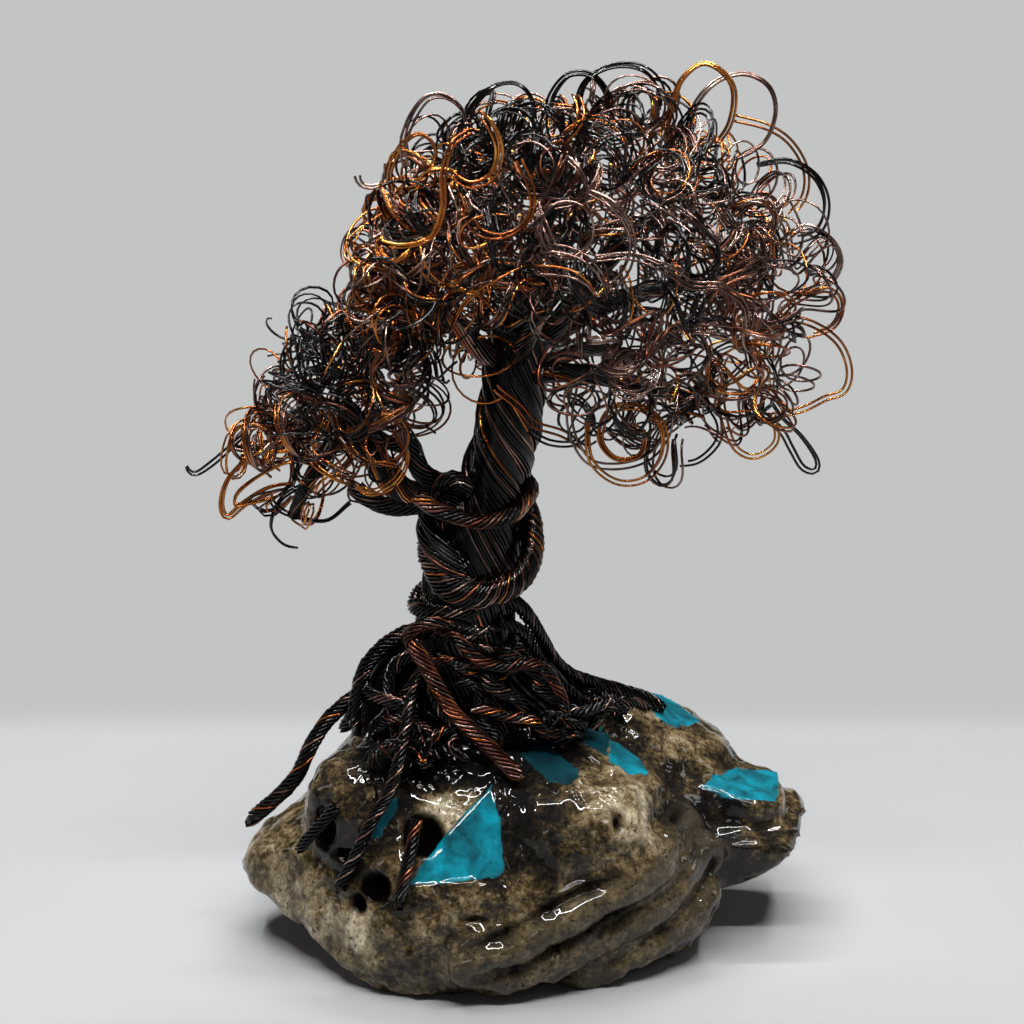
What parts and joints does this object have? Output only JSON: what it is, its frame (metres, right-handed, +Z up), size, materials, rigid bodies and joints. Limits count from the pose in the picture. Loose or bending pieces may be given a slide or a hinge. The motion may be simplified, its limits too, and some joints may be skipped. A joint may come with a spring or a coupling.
{
  "type": "wire tree sculpture",
  "caption": "Small tree of twisted enamelled wire with a curled crown, its rope-like roots spread over a glossy natural stone base that stands flat on a shelf.",
  "frame": {"origin": "middle of the stone's flat underside, where it meets the shelf, below the tree's crown", "axes": "+Z up along the tree's height, -Y towards the front of the sculpture, +X to the right as seen from the front"},
  "size_m": [0.1675, 0.106, 0.2356],
  "materials": {
    "stone": "brown and cream natural stone, partly under clear glossy resin, with blue-teal patches",
    "black_wire": "black enamelled craft wire, glossy",
    "brown_wire": "antique brown enamelled craft wire, satin",
    "copper_wire": "bright copper craft wire under clear enamel"
  },
  "bodies": {
    "root": {"stone_base": "stone", "trunk": "black_wire", "root_far_left": "black_wire", "root_left_hump": "black_wire", "root_front": "copper_wire", "root_front_left": "black_wire", "root_hollow": "black_wire", "root_knob": "black_wire", "root_right": "black_wire", "root_right_low": "black_wire", "root_cross": "copper_wire", "root_right_hook": "black_wire", "root_middle": "black_wire", "root_right_tip": "black_wire", "root_left_tangle": "black_wire", "root_back_left": "black_wire", "root_back": "black_wire", "root_back_right": "black_wire", "binding_ring": "copper_wire", "binding_loop": "black_wire", "binding_foot": "black_wire", "left_branch": "black_wire", "limb_far_left": "black_wire", "limb_left_low": "black_wire", "limb_left_high": "black_wire", "limb_left_back": "black_wire", "limb_top": "black_wire", "limb_right_high": "black_wire", "limb_right": "black_wire", "limb_right_low": "black_wire", "limb_front": "black_wire", "limb_back": "black_wire", "limb_back_low": "black_wire", "lock_left_end": "black_wire", "lock_left_shelf": "brown_wire", "lock_left_low": "black_wire", "lock_left_front": "brown_wire", "lock_left_crest": "black_wire", "lock_left_heart": "brown_wire", "lock_shoulder_left": "black_wire", "lock_shoulder_top": "brown_wire", "lock_back_left": "black_wire", "lock_back_left_low": "brown_wire", "lock_top_left": "black_wire", "lock_top": "brown_wire", "lock_top_right": "black_wire", "lock_right_high": "brown_wire", "lock_right": "black_wire", "lock_right_end": "brown_wire", "lock_right_low": "black_wire", "lock_right_under": "brown_wire", "lock_front_high": "black_wire", "lock_front_low": "brown_wire", "lock_back_high": "black_wire", "lock_back_right": "brown_wire", "lock_back_low": "black_wire", "lock_back_end": "brown_wire"}
  },
  "joints": []
}
